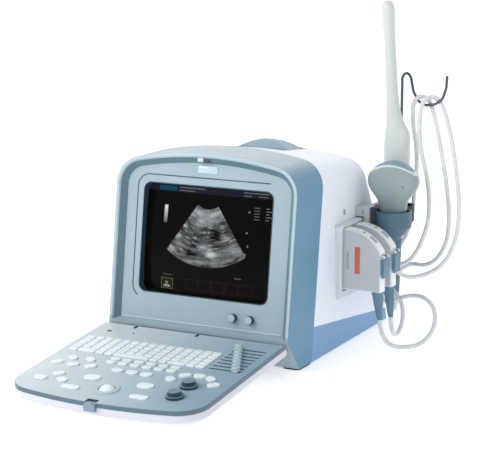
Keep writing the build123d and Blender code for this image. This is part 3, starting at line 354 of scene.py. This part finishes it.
def screen_material():
    """Dark glass over a scan picture: a grey speckled fan, a grey scale bar, a top bar and blank marks."""
    material, tree, shader = new_material("screen_glass")
    across = along(tree, (1, 0, 0))
    up = along(tree, tuple(RIM_UP))

    def inside(value, low, high, soft=0.5):
        rise = ramp(tree, value, low - soft, low + soft)
        fall = ramp(tree, value, high - soft, high + soft)
        return math_node(tree, "SUBTRACT", rise, fall, clamp=True)

    def box_mask(u0, u1, v0, v1):
        return math_node(tree, "MULTIPLY", inside(across, u0, u1), inside(up, v0, v1))

    side = math_node(tree, "SUBTRACT", across, FAN_APEX[0])
    down = math_node(tree, "SUBTRACT", FAN_APEX[1], up)
    radius = distance(tree, side, down)
    angle = math_node(tree, "ARCTAN2", side, down)
    fan = math_node(tree, "MULTIPLY", inside(radius, FAN_NEAR, FAN_FAR, 0.7),
                    inside(angle, -FAN_HALF_ANGLE, FAN_HALF_ANGLE, 0.012))
    polar = node(tree, "ShaderNodeCombineXYZ")
    tree.links.new(math_node(tree, "MULTIPLY", angle, 46), polar.inputs[0])
    tree.links.new(radius, polar.inputs[1])
    speckle = ramp(tree, noise(tree, 0.9, 3, 0.7, polar.outputs[0]), 0.1, 0.75)
    flat = node(tree, "ShaderNodeMapping")
    flat.inputs["Scale"].default_value = (0.7, 1.5, 1)
    tree.links.new(polar.outputs[0], flat.inputs["Vector"])
    tissue = ramp(tree, noise(tree, 0.10, 4, 0.62, flat.outputs[0]), 0.36, 0.70)
    streak = ramp(tree, noise(tree, 0.17, 4, 0.6, flat.outputs[0]), 0.54, 0.72)
    skin = math_node(tree, "ADD", math_node(tree, "MULTIPLY", inside(radius, 31, 50, 3), 0.26),
                     math_node(tree, "MULTIPLY", inside(radius, 35, 40, 2), 0.28))
    middle = math_node(tree, "MULTIPLY", inside(radius, 52, 86, 6), 0.5)
    dimming = math_node(tree, "MULTIPLY", middle, 0.6)
    grey = math_node(tree, "MULTIPLY", tissue, math_node(tree, "SUBTRACT", 0.56, dimming))
    bright = math_node(tree, "MULTIPLY", streak, math_node(tree, "ADD", middle, 0.35))
    echo = math_node(tree, "ADD", math_node(tree, "ADD", grey, skin), math_node(tree, "ADD", bright, 0.025))
    for blob_u, blob_v, blob_size, blob_light in SCREEN_BLOBS:
        du = math_node(tree, "SUBTRACT", across, blob_u)
        dv = math_node(tree, "MULTIPLY", math_node(tree, "SUBTRACT", up, blob_v), 1.7)
        spot = ramp(tree, distance(tree, du, dv), blob_size * 1.6, 0)
        echo = math_node(tree, "MULTIPLY_ADD", spot, blob_light, echo)
    echo = math_node(tree, "MULTIPLY", echo, speckle)
    fan_light = math_node(tree, "MULTIPLY", fan, echo)
    bar = math_node(tree, "MULTIPLY", box_mask(-72, -66.5, 195, 220), ramp(tree, up, 192, 218))
    lights = math_node(tree, "ADD", fan_light, math_node(tree, "MULTIPLY", bar, 0.95))
    picture = mix_colour(tree, lights, (0.002, 0.001, 0.001), (0.78, 0.82, 0.84))
    for u0, u1, v0, v1, colour in SCREEN_MARKS:
        picture = mix_colour(tree, box_mask(u0, u1, v0, v1), picture, colour)
    for step in range(5):
        v = 226 - 4 * step
        picture = mix_colour(tree, box_mask(70, 78, v, v + 1), picture, (0.16, 0.16, 0.17))
        picture = mix_colour(tree, box_mask(87, 92 + (step % 2) * 5, v, v + 1), picture, (0.20, 0.20, 0.21))
    for step in range(5):
        u = -31 + 21 * step
        cell = box_mask(u, u + 20, 103, 118)
        hole = box_mask(u + 0.8, u + 19.2, 103.8, 117.2)
        outline = math_node(tree, "SUBTRACT", cell, hole, clamp=True)
        picture = mix_colour(tree, math_node(tree, "MULTIPLY", outline, 0.5), picture, (0.04, 0.022, 0.016))
    tree.links.new(picture, shader.inputs["Emission Color"])
    shader.inputs["Emission Strength"].default_value = 0.9
    smudge = noise(tree, 9, 5, 0.65)
    black = mix_colour(tree, smudge, (0.001, 0.001, 0.001), (0.004, 0.004, 0.004))
    tree.links.new(black, shader.inputs["Base Color"])
    tree.links.new(math_node(tree, "MULTIPLY_ADD", smudge, 0.10, 0.08), shader.inputs["Roughness"])
    shader.inputs["Specular IOR Level"].default_value = 0.03
    return material


MATERIALS = {
    "frame_grey": plastic("frame_grey", (0.42, 0.52, 0.575), 0.40),
    "frame_shell": plastic("frame_shell", (0.42, 0.52, 0.575), 0.40, paint=frame_paint),
    "keyboard_shell": plastic("keyboard_shell", (0.62, 0.71, 0.74), 0.42, paint=keyboard_paint),
    "handle_grey": plastic("handle_grey", (0.30, 0.42, 0.50), 0.42),
    "bezel_grey": plastic("bezel_grey", (0.315, 0.412, 0.462), 0.48, paint=bezel_paint),
    "white_shell": plastic("white_shell", (0.82, 0.87, 0.97), 0.38, vary=0.02),
    "blue_shell": plastic("blue_shell", (0.155, 0.325, 0.56), 0.40),
    "key_white": plastic("key_white", (0.76, 0.86, 0.89), 0.35, grain_strength=0.06, vary=0.03, coat=0.1),
    "slider_grey": plastic("slider_grey", (0.40, 0.50, 0.56), 0.40),
    "knob_grey": plastic("knob_grey", (0.36, 0.47, 0.53), 0.40, paint=knob_paint(RIM_NORMAL)),
    "encoder_teal": plastic("encoder_teal", (0.20, 0.29, 0.33), 0.35, paint=knob_paint(KEY_UP)),
    "black_plastic": plastic("black_plastic", (0.012, 0.018, 0.024), 0.45, vary=0.2),
    "rubber_dark": soft_plastic("rubber_dark", (0.03, 0.032, 0.035), 0.8),
    "screen_glass": screen_material(),
    "steel": metal("steel", (0.6, 0.61, 0.62)),
    "dark_wire": metal("dark_wire", (0.10, 0.14, 0.17), 0.4),
    "copper": metal("copper", (0.7, 0.35, 0.18), 0.4, (40, 1, 1)),
    "circuit_board": board_material(),
    "connector_white": plastic("connector_white", (0.68, 0.715, 0.765), 0.42, vary=0.03),
    "lever_blue": plastic("lever_blue", (0.11, 0.22, 0.31), 0.45),
    "relief_blue": soft_plastic("relief_blue", (0.125, 0.235, 0.325), 0.55),
    "cup_blue": plastic("cup_blue", (0.068, 0.145, 0.21), 0.42),
    "probe_grey": plastic("probe_grey", (0.27, 0.335, 0.345), 0.34, grain_strength=0.05, coat=0.15,
                          paint=convex_paint),
    "probe_cream": plastic("probe_cream", (0.61, 0.66, 0.64), 0.3, grain_strength=0.04, vary=0.02, coat=0.3),
    "lens_blue": soft_plastic("lens_blue", (0.25, 0.34, 0.45), 0.5),
    "cable_grey": soft_plastic("cable_grey", (0.72, 0.745, 0.76), 0.45),
    "panel_dark": metal("panel_dark", (0.22, 0.25, 0.28), 0.5, (30, 1, 1)),
    "orange_label": plastic("orange_label", (0.62, 0.13, 0.06), 0.5),
    "grey_label": plastic("grey_label", (0.34, 0.39, 0.46), 0.5),
    "plate_silver": plastic("plate_silver", (0.50, 0.63, 0.75), 0.25, coat=0.4),
    "groove_shade": plastic("groove_shade", (0.035, 0.07, 0.09), 0.6),
    # Bead grey, lighter than the bezel: a painted highlight on the bead.
    "bead_painted_highlight": plastic("bead_painted_highlight", (0.46, 0.58, 0.63), 0.4),
    "bracket_shell": plastic("bracket_shell", (0.50, 0.54, 0.59), 0.45, paint=bracket_paint),
    # Light base colour: a painted highlight on the curved rims; connector_paint paints the flat front in
    # shade.
    "connector_shell": plastic("connector_shell", (0.86, 0.885, 0.92), 0.42, vary=0.02,
                               paint=connector_paint),
    "tray_white": plastic("tray_white", (0.62, 0.63, 0.70), 0.40, vary=0.02),
    "latch_grey": plastic("latch_grey", (0.19, 0.28, 0.35), 0.42),
}
OWN_LOOKS = {
    "front_frame": "frame_shell", "keyboard_top": "keyboard_shell", "keyboard_base": "tray_white",
    "keyboard_latch": "latch_grey", "carry_handle": "handle_grey", "hinge_arms": "groove_shade",
    "brightness_knob": "knob_grey", "contrast_knob": "knob_grey", "near_encoder": "encoder_teal",
    "far_encoder": "encoder_teal", "holder_bracket": "bracket_shell", "connector_near": "connector_shell",
    "connector_far": "connector_shell"}

for part in frame["record"]["subparts"]:
    mesh_object = frame["nodes"][part["node"]]
    mesh_object.data.materials.clear()
    mesh_object.data.materials.append(MATERIALS[OWN_LOOKS.get(part["node"], part["material_slot"])])


# --- Mesh helpers ---
def add_piece(name, data, material, body="root"):
    """New object in the frame that rides on a body."""
    data.materials.append(MATERIALS[material])
    piece = bpy.data.objects.new(name, data)
    bpy.context.scene.collection.objects.link(piece)
    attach(piece, body)
    return piece


def tube_curve(name, kind, points, radius):
    """Open round tube along points, as a bevelled curve of one spline."""
    curve = bpy.data.curves.new(name, "CURVE")
    curve.dimensions = "3D"
    spline = curve.splines.new(kind)
    spline.points.add(len(points) - 1)
    for target, point in zip(spline.points, points):
        target.co = (*point, 1)
    curve.bevel_depth = radius
    curve.use_fill_caps = True
    return curve, spline


def loft(name, rings, material, body="root"):
    """Closed skin over rings of points, each with the same number of points."""
    form = bmesh.new()
    rows = [[form.verts.new(point) for point in ring] for ring in rings]
    for low, high in zip(rows, rows[1:]):
        count = len(low)
        for i in range(count):
            form.faces.new((low[i], low[(i + 1) % count], high[(i + 1) % count], high[i]))
    form.faces.new(list(reversed(rows[0])))
    form.faces.new(rows[-1])
    bmesh.ops.recalc_face_normals(form, faces=form.faces)
    mesh = bpy.data.meshes.new(name)
    form.to_mesh(mesh)
    form.free()
    for face in mesh.polygons:
        face.use_smooth = True
    return add_piece(name, mesh, material, body)


def super_ring(centre, along, across, half_along, half_across, power):
    """Points of a rounded-rectangle-like section."""
    points = []
    for i in range(RING_POINTS):
        turn = 2 * math.pi * i / RING_POINTS
        c, s = math.cos(turn), math.sin(turn)
        a = half_along * math.copysign(abs(c) ** (2 / power), c)
        b = half_across * math.copysign(abs(s) ** (2 / power), s)
        points.append(centre + along * a + across * b)
    return points


def smooth_table(rows, steps):
    """Catmull-Rom values between the rows of a table whose first column is the height."""
    out = []
    for i in range(len(rows) - 1):
        before = rows[max(i - 1, 0)]
        here, after = rows[i], rows[i + 1]
        beyond = rows[min(i + 2, len(rows) - 1)]
        for k in range(steps):
            t = k / steps
            row = []
            for p0, p1, p2, p3 in zip(before, here, after, beyond):
                row.append(0.5 * (2 * p1 + (p2 - p0) * t + (2 * p0 - 5 * p1 + 4 * p2 - p3) * t * t
                                  + (3 * p1 - p0 - 3 * p2 + p3) * t ** 3))
            out.append(row)
    out.append(list(rows[-1]))
    return out


def rounded_plate(name, corner_point, right, up, width, height, thickness, radius, material, body="root"):
    """Thin plate with rounded corners and a soft front edge, standing on a surface."""
    normal = right.cross(up)
    rings = []
    for lift, inset in ((0, 0), (thickness * 0.6, 0), (thickness, thickness * 0.4)):
        ring = []
        for cx, cy, start in ((width - radius, radius, -90), (width - radius, height - radius, 0),
                              (radius, height - radius, 90), (radius, radius, 180)):
            for step in range(7):
                turn = math.radians(start + 15 * step)
                reach = max(radius - inset, 0.01)
                x = cx + reach * math.cos(turn)
                y = cy + reach * math.sin(turn)
                ring.append(corner_point + (right * x + up * y + normal * lift) * MM)
        rings.append(ring)
    return loft(name, rings, material, body)


def line_piece(name, points, radius, material, closed=False):
    """Thin bead along points."""
    curve, spline = tube_curve(name, "POLY", points, radius * MM)
    spline.use_cyclic_u = closed
    curve.bevel_resolution = 2
    curve.use_fill_caps = not closed
    return add_piece(name, curve, material)


# --- Cables: the same listed points as the CAD tubes ---
CONVEX_ROUTE = (
    (183, 276, 128), (184, 278, 110), (188, 288, 94), (202, 304, 86), (221, 317, 90), (241, 322, 102),
    (257, 325, 125), (267, 326, 160), (267, 328, 208), (254, 335, 274), (238, 349, 319), (216, 368, 352),
    (198, 350, 351), (195, 343, 318), (201, 333, 278), (217, 321, 243), (227, 311, 206), (228, 304, 169),
    (216, 300, 134), (204, 297, 114), (188, 294, 106), (168, 290, 98), (155, 286, 82), (158, 281, 61),
    (178, 276, 49), (206, 270, 66), (238, 260, 72), (262, 249, 60), (268, 236, 32), (256, 216, 11),
    (236, 201, 7), (214, 194, 9), (202, 190.5, 28), (200, 190.5, 47))
CAVITY_ROUTE = (
    (171, 327, 56), (171, 327, 39), (164, 338, 26), (155, 354, 26), (149, 365, 39), (150, 367, 60),
    (162, 362, 84), (185, 351, 98), (210, 339, 98), (231, 336, 110), (245, 338, 137), (248, 340, 172),
    (243, 342, 216), (230, 346, 274), (219, 354, 308), (201, 368, 352), (183, 350, 351), (182, 349, 317),
    (187, 353, 283), (190, 352, 248), (184, 359, 208), (180, 363, 172), (172, 364, 140), (158, 358, 116),
    (151, 342, 98), (154, 320, 82), (170, 304, 68), (188, 296, 56), (199, 284, 42), (201, 277, 24),
    (201, 264, 11), (201, 245, 11), (201, 233, 24), (200, 232.5, 42))


def make_cable(name, route, replaced):
    """One open NURBS spline with a round bevel."""
    curve, spline = tube_curve(name, "NURBS", [at(*point) for point in route], CABLE_DIAMETER / 2)
    curve.resolution_u = 16
    curve.bevel_resolution = 6
    spline.order_u = 3
    spline.use_endpoint_u = True
    piece = add_piece(name, curve, "cable_grey")
    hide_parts(replaced)


make_cable("convex_probe_cable", CONVEX_ROUTE, "convex_cable")
make_cable("cavity_probe_cable", CAVITY_ROUTE, "cavity_cable")

# --- Convex probe: smooth head and handle, with a lens band ---
CONVEX_TURN = math.radians(4)
convex_along = Vector((math.cos(CONVEX_TURN), math.sin(CONVEX_TURN), 0))
convex_across = Vector((-math.sin(CONVEX_TURN), math.cos(CONVEX_TURN), 0))
# Height, half width, half thickness, squareness
CONVEX_ROWS = (
    (170, 13, 12.4, 3), (180, 17.5, 13, 3), (190, 20, 13, 3.2), (203, 21, 13, 3.4), (212, 26.5, 13, 3.6),
    (222, 34.2, 13.2, 3.8), (231, 38.0, 13.3, 3.8), (239, 38.4, 13.3, 3.8), (246, 36.0, 13.2, 3.8),
    (252, 31.0, 13.0, 3.6), (257.5, 24.5, 12.4, 3.4), (261.5, 17.5, 11.0, 3.0), (264.2, 10.5, 8.0, 2.6),
    (265.6, 4.0, 3.4, 2.2), (265.9, 0.6, 0.6, 2))
convex_rings = [super_ring(at(183, 276, z), convex_along * MM, convex_across * MM, a, b, p)
                for z, a, b, p in smooth_table(CONVEX_ROWS, 4)]
convex_probe = loft("convex_probe", convex_rings, "probe_grey")
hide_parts("convex_probe_body", "convex_probe_lens")

# --- Endocavity probe ---
CAVITY_LEAN = math.radians(4)
cavity_axis = Vector((-math.sin(CAVITY_LEAN), 0, math.cos(CAVITY_LEAN)))
cavity_across = Vector((math.cos(CAVITY_LEAN), 0, math.sin(CAVITY_LEAN)))
# Height up the probe, half depth, half width, shift sideways
CAVITY_ROWS = (
    (0, 12, 12, 0), (18, 13, 13.4, 0), (40, 14.5, 16, 0.5), (62, 15.6, 18.6, 1.4), (84, 16, 20, 2),
    (102, 16, 20.4, 3), (118, 15.4, 20.2, 4.4), (130, 14, 18.6, 4.6), (140, 12.6, 15.4, 3.2),
    (150, 11.2, 12.6, 1.6), (162, 10, 10.8, 0.6), (180, 9.2, 9.4, 0), (205, 8.6, 8.7, 0), (240, 8.4, 8.5, 0),
    (275, 8.6, 8.6, 0), (295, 9.4, 9.4, 0), (306, 9.9, 9.9, 0), (314, 9.7, 9.7, 0), (319, 8.4, 8.4, 0),
    (322.6, 6, 6, 0), (324.6, 2.8, 2.8, 0), (325, 0.6, 0.6, 0))
cavity_rings = [super_ring(at(171, 327, 170) + (cavity_axis * h + cavity_across * aside) * MM,
                           Vector((0, MM, 0)), cavity_across * MM, a, b, 2.0)
                for h, a, b, aside in smooth_table(CAVITY_ROWS, 4)]
cavity_probe = loft("cavity_probe", cavity_rings, "probe_cream")
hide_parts("cavity_probe_body", "cavity_probe_lens")

# --- Bezel trim ---
BEZEL = 10.4


def bezel_loop(half, low, high, radius, depth):
    """Rounded rectangle round the screen."""
    points = []
    for cx, cy, start in ((half - radius, low + radius, -90), (half - radius, high - radius, 0),
                          (-half + radius, high - radius, 90), (-half + radius, low + radius, 180)):
        for step in range(7):
            turn = math.radians(start + 15 * step)
            points.append(on_rim(cx + radius * math.cos(turn), cy + radius * math.sin(turn), depth))
    return points


whole_groove = bezel_loop(112.5, 86, 262, 18, BEZEL + 0.1)
line_piece("bezel_groove", [*reversed(whole_groove[13:26]), on_rim(97, 262, BEZEL + 0.1)], 0.8,
           "groove_shade")
# Bead in a lighter grey than the bezel: a painted highlight on its upper face.
line_piece("bezel_bead", [on_rim(u, 56.4, BEZEL) for u in (-126, -60, 0, 60, 126)], 0.9, "bead_painted_highlight")
rounded_plate("brand_plate", on_rim(-17, 268.5, BEZEL), RIGHT, RIM_UP, 31, 11, 1.2, 2, "plate_silver")
# Light tab as a painted highlight; the dark slot beside it is painted shade.
rounded_plate("catch_tab_highlight", on_rim(-15, 284.5, 3.5), RIGHT, RIM_UP, 9, 5.5, 1.5, 0.8, "tray_white")
rounded_plate("catch_slot", on_rim(-5, 284.2, 5), RIGHT, RIM_UP, 9, 3.5, 1.0, 0.8, "groove_shade")
for index, u in enumerate((-39, 82)):
    rounded_plate(f"sill_screw_{index + 1}", on_rim(u - 2.2, 48.4, 0.6), RIGHT, Vector((0, 0.9, 0.43)),
                  4.4, 4.0, 0.8, 1.9, "groove_shade")
line_piece("screen_shroud_edge", bezel_loop(102.2, 95.0, 250.6, 11, BEZEL - 0.1), 0.7, "groove_shade",
           closed=True)

# --- Labels on the connectors and marks on the housing: blank ---
for index, front in enumerate((181.0, 223.0)):
    face = front - 0.05
    rounded_plate(f"connector_label_{index + 1}", at(164, face, 113), RIGHT, UP, 8, 39, 0.35, 1,
                  "orange_label")
    rounded_plate(f"connector_print_{index + 1}", at(151.5, face, 118), RIGHT, UP, 3.2, 26, 0.25, 0.6,
                  "grey_label")
    for step, (x0, z0, x1, z1) in enumerate(((163, 175.6, 176, 171.6), (184, 167.4, 194, 159.8))):
        run = Vector((x1 - x0, 0, z1 - z0))
        rounded_plate(f"connector_strip_{index + 1}_{step + 1}", at(x0, front + 6, z0 - 0.2),
                      run.normalized(), BACK, run.length, 6.5, 0.6, 0.8, "grey_label")
rounded_plate("housing_mark_1", at(136.2, 204, 192), BACK, Vector((-0.04, 0, 1)), 4.5, 8.5, 0.9, 1.2,
              "grey_label")
rounded_plate("housing_mark_2", at(145, 247, 187), RIGHT, UP, 4, 8, 0.5, 1.2, "grey_label")

# --- Rear panel: screws and a blank rating plate ---
REAR_LEAN = 0.21
REAR_SLOPE = math.hypot(1, REAR_LEAN)
REAR_UP = Vector((0, -REAR_LEAN, 1)) / REAR_SLOPE
REAR_RIGHT = -RIGHT
rear_foot = at(0, 380, 3)


def on_rear(right, up):
    """Point on the rear panel, seen from behind."""
    return rear_foot + (REAR_RIGHT * right + REAR_UP * up) * MM


for index, (right, up) in enumerate(((-82, 42), (82, 42), (-82, 134), (82, 134))):
    rounded_plate(f"panel_screw_{index + 1}", on_rear(right - 2.6, up - 2.6), REAR_RIGHT, REAR_UP,
                  5.2, 5.2, 1.2, 2.6, "steel")
rounded_plate("rating_plate", on_rear(28, 46), REAR_RIGHT, REAR_UP, 48, 15, 0.5, 1.5, "plate_silver")

# --- Keyboard trim ---
rounded_plate("keyboard_port", on_keys(-120, 36, -1.2), RIGHT, -KEY_FORWARD, 8, 5, 1.3, 1,
              "groove_shade", "keyboard")
rounded_plate("keyboard_lamp", on_keys(-79.6, 32.6, -0.2), RIGHT, -KEY_FORWARD, 3.2, 3.2, 0.5, 1.5,
              "groove_shade", "keyboard")

# --- Floor, light and camera ---
FLOOR_HALF = 30.0
floor_mesh = bpy.data.meshes.new("floor")
floor_form = bmesh.new()
bmesh.ops.create_grid(floor_form, x_segments=1, y_segments=1, size=FLOOR_HALF)
floor_form.to_mesh(floor_mesh)
floor_form.free()
floor = bpy.data.objects.new("floor", floor_mesh)
bpy.context.scene.collection.objects.link(floor)
floor_material, floor_tree, floor_shader = new_material("floor")
floor_shader.inputs["Roughness"].default_value = 0.9
floor_shader.inputs["Specular IOR Level"].default_value = 0.0
floor_shader.inputs["Emission Color"].default_value = (1, 1, 1, 1)
floor_shader.inputs["Emission Strength"].default_value = 0.42
floor_tone = mix_colour(floor_tree, noise(floor_tree, 3, 2), (0.93, 0.93, 0.93), (0.97, 0.97, 0.97))
floor_tree.links.new(floor_tone, floor_shader.inputs["Base Color"])
floor_mesh.materials.append(floor_material)

world = bpy.data.worlds.new("studio")
world.use_nodes = True
sky = world.node_tree
sky.nodes["Background"].inputs["Color"].default_value = (1, 1, 1, 1)
sky_side = node(sky, "ShaderNodeSeparateXYZ")
sky.links.new(node(sky, "ShaderNodeTexCoord").outputs["Generated"], sky_side.inputs[0])
sky_left = math_node(sky, "MULTIPLY_ADD", sky_side.outputs["X"], 0.10, 0.66)
sky_glow = math_node(sky, "MULTIPLY_ADD", ramp(sky, sky_side.outputs["Y"], 0.45, 0.85), 0.75, sky_left)
sky.links.new(sky_glow, sky.nodes["Background"].inputs["Strength"])
bpy.context.scene.world = world
key_data = bpy.data.lights.new("key_light", "AREA")
key_data.shape = "DISK"
key_data.size = 1.5
key_data.energy = 30
key_light = bpy.data.objects.new("key_light", key_data)
key_light.location = at(-1100, -1500, 1500)
key_light.rotation_euler = (at(40, 60, 120) - key_light.location).to_track_quat("-Z", "Y").to_euler()
bpy.context.scene.collection.objects.link(key_light)

bpy.context.scene.view_settings.view_transform = "Standard"
camera_data = bpy.data.cameras.new("camera")
camera_data.sensor_width = 36
camera_data.lens = 122.3
camera_data.clip_end = 50
camera = bpy.data.objects.new("camera", camera_data)
camera.location = at(1070.3, -1917.7, 624.7)
camera.rotation_euler = Vector((-0.4530, 0.8702, -0.1937)).to_track_quat("-Z", "Y").to_euler()
bpy.context.scene.collection.objects.link(camera)
bpy.context.scene.camera = camera
